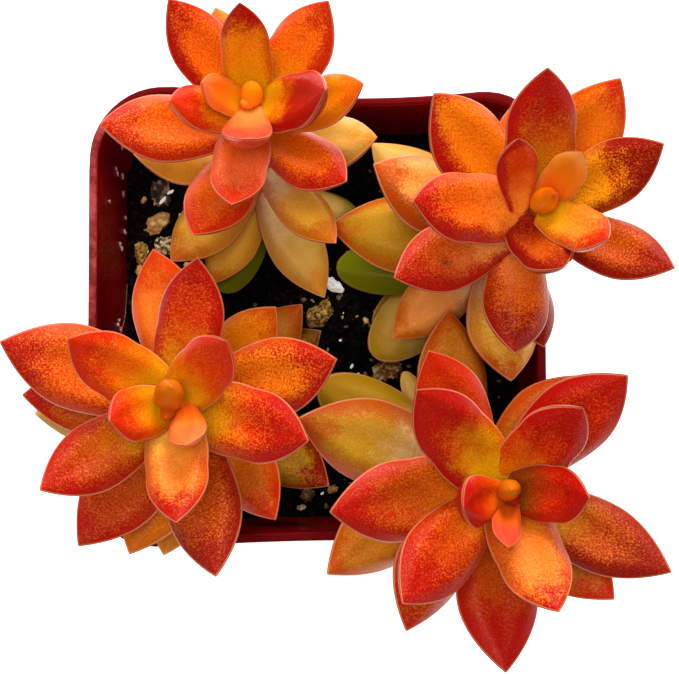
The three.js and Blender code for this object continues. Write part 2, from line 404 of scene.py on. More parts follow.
# %% Bow the walls and round the edges
BOW = {"back": 1.6, "front": 0.85, "left": 0.05, "right": 0.25}
BOW_FOOT = 26
BOW_MIDDLE, BOW_REACH_X, BOW_REACH_Y, BOW_EASE = 5, 24, 22, 1.3
NEAR_FROM, NEAR_SPAN = 0.4, 0.6
SPREAD_BACK, SPREAD_LEFT, CORNER_IN = 0.5, 0.22, 0.42
CORNER_FROM, CORNER_SPAN = 47, 7


def clamp(value, most=1):
    return min(max(value, 0), most)


def bow(point):
    """Moves a point of the pot or the soil inwards with the bowed walls. In metres."""
    x, y, z = (value / MM for value in point)
    height = clamp((z - BOW_FOOT) / (POT_HEIGHT - BOW_FOOT))
    height = height * height * (3 - 2 * height)
    along_x = max(0, 1 - ((x - BOW_MIDDLE) / BOW_REACH_X) ** 2) ** BOW_EASE
    along_y = max(0, 1 - (y / BOW_REACH_Y) ** 2) ** BOW_EASE
    near_y = clamp(abs(y) / BOW_REACH_X - NEAR_FROM, NEAR_SPAN) / NEAR_SPAN
    near_x = clamp(abs(x) / BOW_REACH_X - NEAR_FROM, NEAR_SPAN) / NEAR_SPAN
    push_y = BOW["back"] if y > 0 else -BOW["front"]
    push_x = BOW["right"] if x > 0 else -BOW["left"]
    y -= push_y * along_x * near_y * height
    x -= push_x * along_y * near_x * height
    corner = CORNER_IN * height * clamp((y - x - CORNER_FROM) / CORNER_SPAN)
    y += SPREAD_BACK * height * clamp(y / BOW_REACH_Y) - corner
    x -= SPREAD_LEFT * height * clamp(-x / BOW_REACH_Y) - corner
    return Vector((x, y, z)) * MM


for vertex in pot.data.vertices:
    vertex.co = bow(vertex.co)
apply_modifier(
    pot, "BEVEL", width=0.32 * MM, segments=3, limit_method="ANGLE", angle_limit=math.radians(40)
)
shade_smoothly(pot, 40)
print("Pot rim bows in by", BOW["back"], "mm at the back")

# %% [markdown]
# ### The pot's plastic
#
# The pot is dark red polypropylene with a satin shine. Handling has dulled and
# roughened its rim on the left, and there the rim is also painted paler and pinker
# than the walls, a painted reflection. A thin pale line along the rim's edge is a
# painted highlight. The walls carry faint dried water marks. The height above the
# base tells the rim from the walls, so it needs no second material.

# %% Finish the pot
RIM_FROM, RIM_FULL = 56.5, 56.95
RIM_HIGHLIGHT_LEVEL, RIM_HIGHLIGHT_FADE, RIM_HIGHLIGHT_FULL = 56.72, 0.16, 0.04
WEAR_AND_SHEEN_FROM, WEAR_AND_SHEEN_FULL = 24, 27.5

pot_skin, tree, shader = start_finish(
    "red_plastic", Specular_IOR_Level=0.22, Specular_Tint=(1, 0.2, 0.2, 1)
)
here = place_node(tree, "ShaderNodeTexCoord").outputs["Object"]
side_x, side_y, level = place_node(tree, "ShaderNodeSeparateXYZ", {0: here}).outputs
at_rim = soft_step(tree, level, RIM_FROM * MM, RIM_FULL * MM)
wear_and_sheen_cloud = cloud(tree, 1.6, 4.0, 1.3)
marks = cloud(tree, 7.0, 3.0, 1.0)
wall_red = mix_colours(tree, marks, paint(104, 2, 2), paint(120, 4, 4))
# Painted reflection on a worn part: the rim's left end is painted paler and pinker, and is also bumped.
leftward = maths(tree, "MULTIPLY", side_x, -1.0)
left_rim_wear_and_sheen = soft_step(tree, leftward, WEAR_AND_SHEEN_FROM * MM, WEAR_AND_SHEEN_FULL * MM)
rim_wear_and_sheen = mix_colours(tree, wear_and_sheen_cloud, paint(118, 34, 34), paint(164, 68, 66))
rim_wear_and_sheen = mix_colours(tree, left_rim_wear_and_sheen, paint(98, 4, 8), rim_wear_and_sheen)
colour = mix_colours(tree, at_rim, wall_red, rim_wear_and_sheen)
# Painted highlight: a thin pale line runs along the rim's edge.
from_edge = maths(tree, "ABSOLUTE", maths(tree, "SUBTRACT", level, RIM_HIGHLIGHT_LEVEL * MM))
edge = soft_step(tree, from_edge, RIM_HIGHLIGHT_FADE * MM, RIM_HIGHLIGHT_FULL * MM)
colour = mix_colours(tree, maths(tree, "MULTIPLY", edge, 0.7), colour, paint(176, 40, 40))
tree.links.new(colour, shader.inputs["Base Color"])
dulling = maths(tree, "MULTIPLY_ADD", wear_and_sheen_cloud, 0.12, 0.32)
dulling = maths(tree, "MULTIPLY_ADD", at_rim, 0.3, dulling)
tree.links.new(dulling, shader.inputs["Roughness"])
add_relief(tree, shader, maths(tree, "MULTIPLY", cloud(tree, 0.5, 3.0), left_rim_wear_and_sheen), 0.05 * MM)
pot.data.materials.append(pot_skin)
hand_over(pot, "pot_moulding", "pot", "pot")

# %% [markdown]
# ## The soil
#
# The mix is dark peat and bark fines with grit in it. Its surface could be a flat
# block with a bump texture, but seen from the side that looks like paint. So a
# fine grid is fitted to the pot's inside, raised into the same low mounds as the
# CAD soil, and broken up by two Displace modifiers: one for clods, one for crumbs.

# %% Lay the soil
SOIL_TOP, SOIL_CORNER = 43.0, 7.4


def soil_height(x, y):
    """The soil's mean surface, in millimetres, as in the CAD model."""
    mounds = math.sin(0.31 * x + 1.2) * math.cos(0.27 * y - 0.6) + 0.6 * math.sin(0.9 * x - 0.7 * y)
    grains = math.sin(2.1 * x + 0.4) * math.sin(1.9 * y + 1.1)
    return SOIL_TOP + 0.5 * mounds + 0.4 * grains


def into_rounded_square(x, y, half, corner):
    """Moves a point of a square to where it lies in the same square with round corners."""
    reach = max(abs(x), abs(y))
    if reach == 0:
        return x, y
    along = min(abs(x), abs(y)) / reach
    inner = (half - corner) / half
    if along <= inner:
        return x, y
    # Where a line in this direction meets the round corner.
    a = 1 + along * along
    b = inner * (1 + along)
    c = 2 * inner * inner - (1 - inner) ** 2
    edge = (b + math.sqrt(max(b * b - a * c, 0))) / a
    return x * edge, y * edge


let_go()
soil_half = hollow_width(SOIL_TOP) / 2
bpy.ops.mesh.primitive_grid_add(
    x_subdivisions=210, y_subdivisions=210, size=2 * soil_half * MM, location=(0, 0, SOIL_TOP * MM)
)
soil = bpy.context.object
bpy.ops.object.transform_apply()
surface = soil.vertex_groups.new(name="surface")
surface.add(range(len(soil.data.vertices)), 1.0, "REPLACE")
bpy.ops.object.mode_set(mode="EDIT")
pick(soil, "edges", lambda edge: edge.is_boundary)
pen_width, pen_z = 2 * soil_half, SOIL_TOP
for z in (40, 30, 16, POT_FLOOR + 0.4):
    draw_to(hollow_width(z) - 0.1, z)
bpy.ops.mesh.edge_face_add()
let_go()
print("Soil is", round(2 * soil_half, 1), "mm wide at its surface")

# %% Raise the clods and crumbs
for vertex in soil.data.vertices:
    x, y, z = (value / MM for value in vertex.co)
    half = hollow_width(z) / 2
    x, y = into_rounded_square(x, y, half, SOIL_CORNER)
    if z > SOIL_TOP - 0.5:
        z = soil_height(x, y)
    vertex.co = bow(Vector((x, y, z)) * MM)

clods = bpy.data.textures.new("clods", "VORONOI")
clods.noise_scale = 1.1 * MM
clods.distance_metric = "DISTANCE"
crumbs = bpy.data.textures.new("crumbs", "CLOUDS")
crumbs.noise_scale = 0.45 * MM
crumbs.noise_depth = 3
for texture, strength in ((clods, 0.9), (crumbs, 0.7)):
    apply_modifier(
        soil, "DISPLACE", texture=texture, texture_coords="LOCAL", direction="Z",
        strength=strength * MM, mid_level=0.6, vertex_group="surface",
    )
shade_smoothly(soil, 50)
print("Soil surface lies between",
      [round(v / MM, 1) for v in (min(p.co.z for p in soil.data.vertices),
                                  max(p.co.z for p in soil.data.vertices))])

# %% [markdown]
# ### Peat, fibre and grit
#
# Damp peat is nearly black with brown fibres in it. Colour alone won't make it
# look loose, so separate crumbs are strewn over it: one small stone shape with a
# few faces, copied, turned and squashed many times with a fixed seed. Most are
# dark, some are tan and a few are white.

# %% Finish the soil
soil_skin, tree, shader = start_finish("damp_peat", Specular_IOR_Level=0.07)
fibres = cloud(tree, 0.6, 4.0, 1.2)
patches = cloud(tree, 4.0, 2.0, 1.0)
peat = mix_colours(tree, patches, paint(2, 1, 1), paint(6, 4, 3))
peat = mix_colours(tree, soft_step(tree, fibres, 0.75, 1.0), peat, paint(34, 23, 14))
tree.links.new(peat, shader.inputs["Base Color"])
tree.links.new(maths(tree, "MULTIPLY_ADD", fibres, 0.3, 0.6), shader.inputs["Roughness"])
add_relief(tree, shader, cloud(tree, 0.3, 4.0), 0.12 * MM)
soil.data.materials.append(soil_skin)
hand_over(soil, "soil_bed", "soil", "soil")

# %% Strew the crumbs
let_go()
bpy.ops.mesh.primitive_ico_sphere_add(subdivisions=1, radius=1)
crumb = bpy.context.object
crumb.name = "crumb"
bpy.ops.object.mode_set(mode="EDIT")
bpy.ops.mesh.select_all(action="SELECT")
bpy.ops.transform.vertex_random(offset=0.22, seed=4)
let_go()

STEM_ROOTS = ((-7.9, 13.0), (17.4, 5.7), (-12.0, -10.0), (11.5, -15.2))


def set_grain(cage, place, sizes, turns):
    """Adds one squashed and turned copy of the crumb to a growing mesh. Millimetres."""
    turn = Matrix.Rotation(turns[0], 4, "Z") @ Matrix.Rotation(turns[1], 4, "X")
    stretch = Matrix.Diagonal((*(size / 2 for size in sizes), 1 / MM)) * MM
    grain = crumb.data.copy()
    grain.transform(Matrix.Translation(bow(Vector(place) * MM)) @ turn @ stretch)
    cage.from_mesh(grain)
    bpy.data.meshes.remove(grain)


def gather(name, cage, skin, slot):
    """Turns the grown mesh into a finished piece."""
    mesh = bpy.data.meshes.new(name)
    cage.to_mesh(mesh)
    cage.free()
    piece = bpy.data.objects.new(name, mesh)
    bpy.context.collection.objects.link(piece)
    mesh.materials.append(skin)
    return hand_over(piece, name, slot)


def strew(name, skin, slot, count, smallest, largest, seed):
    """Strews crumbs over the soil, but not on the stems."""
    chance = random.Random(seed)
    cage = bmesh.new()
    made = 0
    while made < count:
        x, y = chance.uniform(-25, 25), chance.uniform(-25, 25)
        corner = max(abs(x) - 17.5, 0), max(abs(y) - 17.5, 0)
        if math.hypot(*corner) > 6.9 or any(math.hypot(x - a, y - b) < 3 for a, b in STEM_ROOTS):
            continue
        size = chance.uniform(smallest, largest)
        place = (x, y, soil_height(x, y) + 0.15 * size + 0.1)
        sizes = (size, size * chance.uniform(0.5, 1), size * 0.7)
        set_grain(cage, place, sizes, (chance.uniform(0, 6.3), chance.uniform(0, 6.3)))
        made += 1
    return gather(name, cage, skin, slot)


strew("soil_crumbs", soil_skin, "soil", 1100, 0.5, 1.6, seed=3)

# %% [markdown]
# ### Stones
#
# Pumice is a pale, crumbly foam of rock, perlite is whiter still, and bark breaks
# into ribbed chips. Each stone starts as an icosphere, is bumped by the same
# formula as its CAD solid so that it lies in the same dent, and is chipped by a
# Displace modifier. Decimate then leaves a few dozen flat facets with sharp edges,
# as on a split stone, and a finer Displace crumbles them. Each point keeps how
# deep it has sunk, and the finish is darker in those creases. Perlite gets a faint
# glow, a painted highlight that keeps it bright among the shaded leaves. In a row
# below, the three cuts are the depth of the chips, the number of facets and the
# depth of the pits.

# %% Finishes for the stones
def finish_stone(name, dark, mid, pale, pore_size, relief, roughness=0.6):
    dark, mid, pale = paint(*dark), paint(*mid), paint(*pale)
    skin, tree, shader = start_finish(name, Specular_IOR_Level=0.3 if roughness > 0.5 else 0.8)
    pores = cloud(tree, pore_size, 4.0, 0.9)
    crease = attribute(tree, "crease").outputs["Fac"]
    sheltered = maths(tree, "MULTIPLY", crease, 0.4)
    patches = maths(tree, "SUBTRACT", cloud(tree, 0.8, 3.0, 0.9), sheltered)
    body = mix_colours(tree, soft_step(tree, patches, 0.3, 0.9), mid, pale)
    sunk = maths(tree, "MULTIPLY_ADD", pores, -0.8, crease)
    colour = mix_colours(tree, soft_step(tree, sunk, -0.3, 0.5), body, dark)
    tree.links.new(colour, shader.inputs["Base Color"])
    tree.links.new(maths(tree, "MULTIPLY_ADD", pores, 0.25, roughness), shader.inputs["Roughness"])
    add_relief(tree, shader, pores, relief * MM)
    return skin


# Each row: the dark, middle and pale paints, the pores' size and depth in
# millimetres and, where the stone is glossy, its roughness.
STONE_FINISHES = {
    "pumice": ((60, 44, 16), (176, 142, 84), (226, 208, 160), 0.4, 0.1),
    "amber_pumice": ((50, 30, 8), (190, 134, 62), (226, 190, 118), 1.1, 0.04),
    "gold_pumice": ((70, 46, 8), (160, 112, 34), (206, 166, 84), 0.35, 0.1),
    "grey_pumice": ((36, 26, 14), (106, 78, 46), (156, 126, 86), 0.45, 0.1),
    "perlite": ((170, 164, 150), (250, 248, 242), (255, 254, 252), 0.35, 0.08),
    "bark": ((14, 9, 5), (48, 32, 20), (150, 122, 92), 0.5, 0.15),
    "volcanic_glass": ((52, 30, 6), (132, 86, 26), (214, 186, 128), 0.8, 0.04, 0.16),
    "dried_flake": ((96, 34, 34), (176, 118, 114), (226, 200, 194), 0.4, 0.06),
}
stone_skins = {name: finish_stone(name, *row) for name, row in STONE_FINISHES.items()}
# Painted highlight: perlite glows faintly, so that it stays bright among the shaded leaves.
perlite_painted_glow = stone_skins["perlite"].node_tree.nodes["Principled BSDF"].inputs
perlite_painted_glow["Emission Color"].default_value = paint(255, 250, 236)
perlite_painted_glow["Emission Strength"].default_value = 0.2
print("Stone finishes:", ", ".join(stone_skins))

# %% Shape the stones
ICO_FACES = 1280
CREASE_DEPTH = 0.15
STONES = {
    "bark_chip": ((-21.2, 17.2), (1.4, 1.9, 0.9), 8, (0.9, 70, 0.3), "bark", "bark"),
    "pumice_back_left_long": ((-21.8, 13.2), (2.0, 1.15, 1.2), 40, (0.8, 50, 0.1), "amber_pumice", "pumice"),
    "pumice_back_left_round": ((-20.5, 10.3), (1.55, 1.3, 1.1), 15, (0.7, 150, 0.6), "pumice", "pumice"),
    "pumice_left_edge": ((-23.8, 9.2), (0.9, 1.45, 0.9), 0, (0.8, 60, 0.35), "gold_pumice", "pumice"),
    "pumice_middle": ((-0.2, 1.2), (2.1, 1.45, 1.3), 50, (0.7, 160, 0.6), "gold_pumice", "pumice"),
    "perlite_flake": ((1.5, 5.1), (1.4, 0.8, 0.6), -30, (0.3, 60, 0.25), "perlite", "perlite"),
    "pumice_middle_right": ((8.6, -6.2), (2.3, 1.5, 1.2), 20, (0.9, 60, 0.15), "volcanic_glass", "pumice"),
    "pumice_front_large": ((-1.8, -22.4), (0.9, 0.9, 0.8), 30, (0.6, 60, 0.3), "grey_pumice", "pumice"),
    "pumice_front_small": ((-2.6, -24.0), (0.7, 0.5, 0.55), 0, (0.4, 60, 0.2), "pumice", "pumice"),
}
chips = bpy.data.textures.new("chips", "VORONOI")
chips.noise_scale = 1.5 * MM
pits = bpy.data.textures.new("pits", "CLOUDS")
pits.noise_scale = 0.45 * MM
pits.noise_depth = 4


def shape_stone(place, half, turn, chipping, facets, crumble):
    x, y = place
    let_go()
    bpy.ops.mesh.primitive_ico_sphere_add(subdivisions=4, radius=1)
    stone = bpy.context.object
    for vertex in stone.data.vertices:
        p = vertex.co
        bump = math.sin(4.1 * p.x + x) * math.sin(3.7 * p.y + y) + math.sin(3.3 * p.z + x * y)
        vertex.co = p * (1 + 0.09 * bump)
    rest = Vector((x, y, soil_height(x, y) + 0.35 * half[2])) * MM
    sized = Matrix.Diagonal((*(h * MM for h in half), 1))
    stone.data.transform(Matrix.Translation(rest) @ Matrix.Rotation(math.radians(turn), 4, "Z") @ sized)
    settings = {"texture_coords": "LOCAL", "mid_level": 0.6}
    apply_modifier(stone, "DISPLACE", texture=chips, strength=chipping * MM, **settings)
    apply_modifier(stone, "DECIMATE", ratio=facets / ICO_FACES)
    apply_modifier(stone, "SUBSURF", subdivision_type="SIMPLE", levels=3, render_levels=3)
    whole = [(vertex.co - rest).length for vertex in stone.data.vertices]
    apply_modifier(stone, "DISPLACE", texture=pits, strength=crumble * MM, **settings)
    creases = stone.data.attributes.new("crease", "FLOAT", "POINT")
    for vertex, was, crease in zip(stone.data.vertices, whole, creases.data):
        crease.value = (was - (vertex.co - rest).length) / (CREASE_DEPTH * MM)
    shade_smoothly(stone, 32)
    return stone


for node, (place, half, turn, cuts, finish, slot) in STONES.items():
    stone = shape_stone(place, half, turn, *cuts)
    stone.data.materials.append(stone_skins[finish])
    hand_over(stone, "fine_" + node, slot, node)

# %% [markdown]
# Some grains are large enough to be seen one by one: white flakes and grey
# slivers on the soil, and dried flakes that stick to the left wall. Each row
# gives a grain's place, its length, its width and its turn from the right. Two of
# them lie on the bark chip, so their rows end in how high they lie.

# %% Set the larger grains
WHITE_CHIPS = (
    (-23.0, 9.3, 1.0, 0.5, 70), (-23.2, 7.6, 0.9, 0.45, 110), (-20.8, 15.9, 1.5, 0.55, 50, 0.9),
    (-19.8, 17.0, 1.2, 0.5, 30, 0.7), (-20.1, 16.2, 0.9, 0.3, 75), (-18.7, 14.2, 0.6, 0.4, 90),
    (2.4, -2.2, 0.5, 0.4, 0), (3.9, -5.6, 0.8, 0.45, 60), (4.8, -6.6, 0.5, 0.35, 110),
    (0.1, -22.6, 0.6, 0.35, 40),
)
GREY_SLIVERS = (
    (2.6, 3.7, 0.6, 0.35, 100), (3.0, 2.2, 1.1, 0.4, 35), (0.8, 3.2, 0.5, 0.3, 60),
    (-1.2, 2.9, 0.8, 0.4, 140), (23.2, -7.5, 0.6, 0.4, 0), (23.2, -9.6, 0.5, 0.4, 90),
    (-14.8, 16.9, 0.6, 0.4, 30), (6.4, 14.6, 0.9, 0.5, 70), (7.6, 11.8, 0.5, 0.4, 20),
)
BROWN_CHIPS = (
    (1.5, -22.0, 2.0, 1.2, 30), (-23.9, 6.9, 1.7, 1.2, 80), (-18.0, 18.8, 1.8, 0.9, 120),
    (-23.4, 16.1, 1.2, 0.8, 60), (-2.2, -20.6, 1.3, 0.8, 20), (5.8, 0.2, 1.6, 0.9, 110),
    (7.2, 12.9, 1.5, 1.0, 45), (3.6, -20.8, 1.6, 0.9, 150), (-17.6, 7.6, 1.3, 0.9, 10),
)
WALL_FLAKES = (
    (22.9, 48.6, 1.9, 1.3), (19.4, 48.5, 0.9, 0.7), (18.8, 47.8, 1.2, 0.9), (18.9, 45.5, 1.6, 1.1),
    (16.6, 45.0, 1.3, 1.2), (14.8, 51.4, 0.7, 0.6), (13.7, 43.9, 0.9, 0.7), (11.9, 44.4, 1.1, 0.8),
    (11.7, 43.9, 0.8, 0.6), (9.9, 46.4, 1.4, 1.1), (9.5, 45.6, 1.7, 0.9),
    (-1.0, 45.8, 1.6, 1.1), (-0.4, 47.2, 0.9, 0.7), (0.2, 46.6, 0.7, 0.6),
)
for name, chips_here, skin, slot in (
    ("white_chips", WHITE_CHIPS, stone_skins["perlite"], "perlite"),
    ("grey_slivers", GREY_SLIVERS, stone_skins["grey_pumice"], "pumice"),
    ("brown_chips", BROWN_CHIPS, stone_skins["amber_pumice"], "pumice"),
):
    cage = bmesh.new()
    for x, y, long, wide, turn, *lift in chips_here:
        place = (x, y, soil_height(x, y) + 0.25 * wide + (lift[0] if lift else 0.1))
        set_grain(cage, place, (long, wide, wide * 0.8), (math.radians(turn), 0.4))
    gather(name, cage, skin, slot)

cage = bmesh.new()
for y, z, long, wide in WALL_FLAKES:
    half = hollow_width(z) / 2
    x, y = into_rounded_square(0.1 - half, y, half, SOIL_CORNER)
    set_grain(cage, (x, y, z), (0.4, wide, 0.7 * long), (0.1, 0.2))
gather("wall_flakes", cage, stone_skins["dried_flake"], "perlite")

FIBRE = ((5.4, 43.0), (3.9, 43.3), (2.3, 43.5), (0.8, 44.0), (-0.4, 44.8), (-1.0, 45.8))
fibre = draw_tube(
    [bow(Vector((0.12 - hollow_width(z) / 2, y, z)) * MM) for y, z in FIBRE],
    0.07 * MM, vertices=6, turn=(math.pi / 2, 0, 0),
)
fibre.data.materials.append(stone_skins["grey_pumice"])
hand_over(fibre, "root_fibre", "pumice")

# %% Strew tan and white grit
strew("tan_grit", stone_skins["grey_pumice"], "pumice", 130, 0.3, 1.0, seed=11)
strew("pale_grit", stone_skins["gold_pumice"], "pumice", 50, 0.3, 0.8, seed=17)
strew("white_grit", stone_skins["perlite"], "perlite", 30, 0.2, 0.4, seed=23)
bpy.data.objects.remove(crumb)

# %% [markdown]
# ## A leaf
#
# Every leaf of this plant is the same fleshy boat: narrow at its foot, widest
# past the middle, pointed at its tip, almost flat above and keeled below. So one
# leaf is modelled well and copied.
#
# A sphere with its poles at the foot and the tip already closes both ends. Its
# rings are moved along the leaf and sized to the outline. Then its section is
# shaped: a shallow bowl in the middle of the upper side, margins that slope down
# from it and meet in a ridge before the tip, and the keel below. A Subdivision
# Surface smooths the cage. The leaf is one unit long and two units wide and deep;
# each copy is sized, bent and placed later.

# %% Draw the leaf's outline
LEAF_WIDEST, LEAF_FOOT, LEAF_SHOULDER = 0.58, 0.48, 1.9
LEAF_RINGS = (0.008, 0.035, 0.09, 0.17, 0.26, 0.35, 0.44, 0.53,
              0.62, 0.70, 0.78, 0.85, 0.91, 0.955, 0.985)


def leaf_fullness(share):
    """The leaf's half width at a share of its length, 1 where it is widest."""
    if share < LEAF_WIDEST:
        swell = math.sin(share / LEAF_WIDEST * math.pi / 2) ** 1.4
        return LEAF_FOOT + (1 - LEAF_FOOT) * swell
    run = (share - LEAF_WIDEST) / (1 - LEAF_WIDEST)
    return max(1 - run ** LEAF_SHOULDER, 0)


def round_off(share):
    """How much wider a leaf with an oval end is than the usual one, at a share of its length."""
    run = min(max((share - LEAF_WIDEST) / (1 - LEAF_WIDEST), 0), 0.99)
    return math.sqrt(1 - run * run) / (1 - run ** LEAF_SHOULDER)


let_go()
bpy.ops.mesh.primitive_uv_sphere_add(segments=24, ring_count=16, radius=1, rotation=(0, math.pi / 2, 0))
leaf = bpy.context.object
bpy.ops.object.transform_apply()
bpy.ops.object.mode_set(mode="EDIT")
bpy.ops.mesh.select_all(action="SELECT")
bpy.ops.transform.translate(value=(11, 0, 0))
for ring, share in enumerate(LEAF_RINGS, start=1):
    angle = math.pi * ring / 16
    was = 11 - math.cos(angle)
    pick(leaf, "verts", lambda v: abs(v.co.x - was) < 0.005)
    full = leaf_fullness(share) * (0.6 if share < 0.02 else 1) / math.sin(angle)
    bpy.ops.transform.resize(value=(1, full, full), center_override=(was, 0, 0))
    bpy.ops.transform.translate(value=(share - was, 0, 0))
for was, share in ((10, 0), (12, 1)):
    pick(leaf, "verts", lambda v: abs(v.co.x - was) < 0.005)
    bpy.ops.transform.translate(value=(share - was, 0, 0))
let_go()
print("Leaf outline has", len(LEAF_RINGS), "rings")

# %% Press the upper side flat and draw the keel
MARGIN_HEIGHT = -0.25


def leaf_section(along, across, rounded):
    """Height at a place across the leaf; rounded tells the upper side from the keel."""
    across = min(abs(across), 1)
    if rounded < 0:
        return MARGIN_HEIGHT - (1 + MARGIN_HEIGHT) * (1 - across ** 2) ** 0.62
    flat = 0.6 * min(1, (1.02 - along) / 0.42)
    slope = max(across - flat, 0) / (1 - flat)
    height = MARGIN_HEIGHT + 0.4 * (1 - slope ** 1.4)
    if across < flat:
        height -= (0.1 + 0.22 * (1 - along)) * (1 - (across / flat) ** 2) ** 2 * min(1, flat / 0.4)
    return height


for vertex in leaf.data.vertices:
    full = math.hypot(vertex.co.y, vertex.co.z)
    if full > 1e-6:
        vertex.co.z = full * leaf_section(vertex.co.x, vertex.co.y / full, vertex.co.z)
apply_modifier(leaf, "SUBSURF", levels=1, render_levels=1)
shade_smoothly(leaf)
leaf.name = "leaf_master"
print("Leaf has", len(leaf.data.polygons), "faces")

# %% [markdown]
# At each crown the two youngest leaves haven't opened. Seen from above, such a
# leaf is a blunt egg with a soft keel. It is drawn from a sphere as well: pulled
# to one unit of length, narrowed towards its foot and drawn out a little at its
# tip.

# %% Draw the unopened leaf
let_go()
bpy.ops.mesh.primitive_uv_sphere_add(segments=16, ring_count=12, radius=1, rotation=(0, math.pi / 2, 0))
bud = bpy.context.object
bpy.ops.object.transform_apply()
bpy.ops.object.mode_set(mode="EDIT")
bpy.ops.mesh.select_all(action="SELECT")
bpy.ops.transform.resize(value=(0.5, 1, 1))
bpy.ops.transform.translate(value=(0.5, 0, 0))
for share, width in ((0.0, 0.6), (0.067, 0.7), (0.147, 0.8), (0.25, 0.9)):
    pick(bud, "verts", lambda v: abs(v.co.x - share) < 0.03)
    bpy.ops.transform.resize(value=(1, width, width), center_override=(share, 0, 0))
pick(bud, "verts", lambda v: v.co.x > 0.99)
bpy.ops.transform.translate(value=(0.07, 0, 0))
pick(bud, "verts", lambda v: abs(v.co.y) < 0.05 and v.co.z < -0.2 and v.co.x > 0.3)
bpy.ops.transform.resize(value=(1, 1, 1.12), center_override=(0, 0, 0))
let_go()
apply_modifier(bud, "SUBSURF", levels=1, render_levels=1)
shade_smoothly(bud)
bud.name = "bud_master"
print("Unopened leaf has", len(bud.data.polygons), "faces")

# %% [markdown]
# Colour follows the leaf: red sits at the tip and along the margins, where it is
# partly the leaf's own and partly painted shade. So both master leaves remember,
# at each point, how far along and how far across it is, and how far from the
# margin. Each copy then carries three paints (foot, blade and tip) and how far the
# red reaches down from the tip, in from the left margin and in from the right one.

# %% Let the leaf remember its own places
for master in (leaf, bud):
    places = master.data.attributes.new("leaf_place", "FLOAT_VECTOR", "POINT")
    for vertex, place in zip(master.data.vertices, places.data):
        along = min(max(vertex.co.x, 0), 1)
        full = max(leaf_fullness(along), 0.02)
        across = min(max(vertex.co.y / full, -1), 1)
        place.vector = (along, across, (1 - abs(across)) * full) if master == leaf else (along, 0, 1)

PAINTS = {
    "gold": paint(214, 156, 3),
    "amber": paint(226, 116, 5),
    "apricot": paint(246, 130, 38),
    "orange": paint(228, 94, 5),
    "tangerine": paint(246, 112, 6),
    "honey": paint(244, 140, 8),
    "bronze": paint(196, 98, 6),
    "rust": paint(182, 70, 4),
    "vermilion": paint(214, 60, 5),
    "scarlet": paint(200, 34, 4),
    "crimson": paint(172, 8, 4),
    "maroon": paint(138, 8, 3),
    "rose": paint(226, 68, 44),
    "salmon": paint(242, 110, 52),
    "peach": paint(232, 148, 64),
    "ivory": paint(248, 222, 168),
    "cream": paint(238, 196, 126),
    "corn": paint(236, 184, 60),
    "sand": paint(196, 156, 70),
    "straw": paint(226, 168, 48),
    "tan": paint(194, 122, 28),
    "olive": paint(176, 134, 16),
    "green": paint(98, 104, 3),
    "umber": paint(106, 56, 6),
}


def dye(piece, foot, blade, tip, reach=2.0, left=0, right=0, grain=0.3, spot=(0, 0, 0, 0)):
    """Gives every point of one leaf its paints, how far its red goes and where a spot is."""
    count = len(piece.data.vertices)
    for name, value in (("leaf_foot", PAINTS[foot]), ("leaf_blade", PAINTS[blade]),
                        ("leaf_tip", PAINTS[tip]), ("leaf_blush", (reach, left, right, grain)),
                        ("leaf_spot", spot)):
        layer = piece.data.attributes.new(name, "FLOAT_COLOR", "POINT")
        layer.data.foreach_set("color", list(value) * count)


print("Paints for leaves:", ", ".join(PAINTS))

# %% [markdown]
# ### The skin of a leaf
#
# Under a lens the red isn't an even coat. It lies in single cells, so orange
# turns to red through grains that crowd together. The group below works that
# way: it adds up how red a place should be, and a fine cloud decides which grains
# have turned. The red along the margins is partly painted shade. A pale line along
# the rim is a painted highlight, and the very edge is dark. A few leaves also
# carry one dark bruise, a soft spot round a place on the leaf.
#
# Both kinds of leaf use the group. The shaders differ: the young leaves are a
# little glossier and let less light through than the old, watery ones.

# %% Make the leaf colour group
leaf_group, taken, given = start_group(
    "leaf_colours",
    {"Grain mm": 0.4, "Pale rim": 0.35, "Margin red": 0.3},
    {"Color": "NodeSocketColor", "Redness": "NodeSocketFloat", "Height": "NodeSocketFloat"},
)
place = attribute(leaf_group, "leaf_place").outputs["Vector"]
along, across, inward = place_node(leaf_group, "ShaderNodeSeparateXYZ", {0: place}).outputs
blush = attribute(leaf_group, "leaf_blush")
reach, left, right = place_node(leaf_group, "ShaderNodeSeparateColor", {0: blush.outputs["Color"]}).outputs
graininess = blush.outputs["Alpha"]
drift = maths(leaf_group, "MULTIPLY_ADD", cloud(leaf_group, 2.2, 3.0), 0.14, -0.07)
grains = cloud(leaf_group, taken["Grain mm"], 2.0, 1.1)

ground_share = soft_step(leaf_group, maths(leaf_group, "ADD", along, drift), 0.12, 0.62)
ground = mix_colours(
    leaf_group, ground_share,
    attribute(leaf_group, "leaf_foot").outputs["Color"],
    attribute(leaf_group, "leaf_blade").outputs["Color"],
)
from_tip = maths(leaf_group, "SUBTRACT", maths(leaf_group, "ADD", along, drift), reach)
at_tip = soft_step(leaf_group, from_tip, -0.2, 0.16)
drifted = maths(leaf_group, "ADD", across, drift)
# Partly painted shade: the red of the left and right margins, deepest on the side turned from the light.
left_red_and_shade = maths(leaf_group, "MULTIPLY", soft_step(leaf_group, drifted, 0.35, 0.85), left)
mirrored = maths(leaf_group, "SUBTRACT", drift, across)
right_red_and_shade = maths(leaf_group, "MULTIPLY", soft_step(leaf_group, mirrored, 0.35, 0.85), right)
over_blade = maths(leaf_group, "MULTIPLY", ground_share, maths(leaf_group, "MULTIPLY", graininess, 0.2))
width_share = maths(leaf_group, "ABSOLUTE", across)
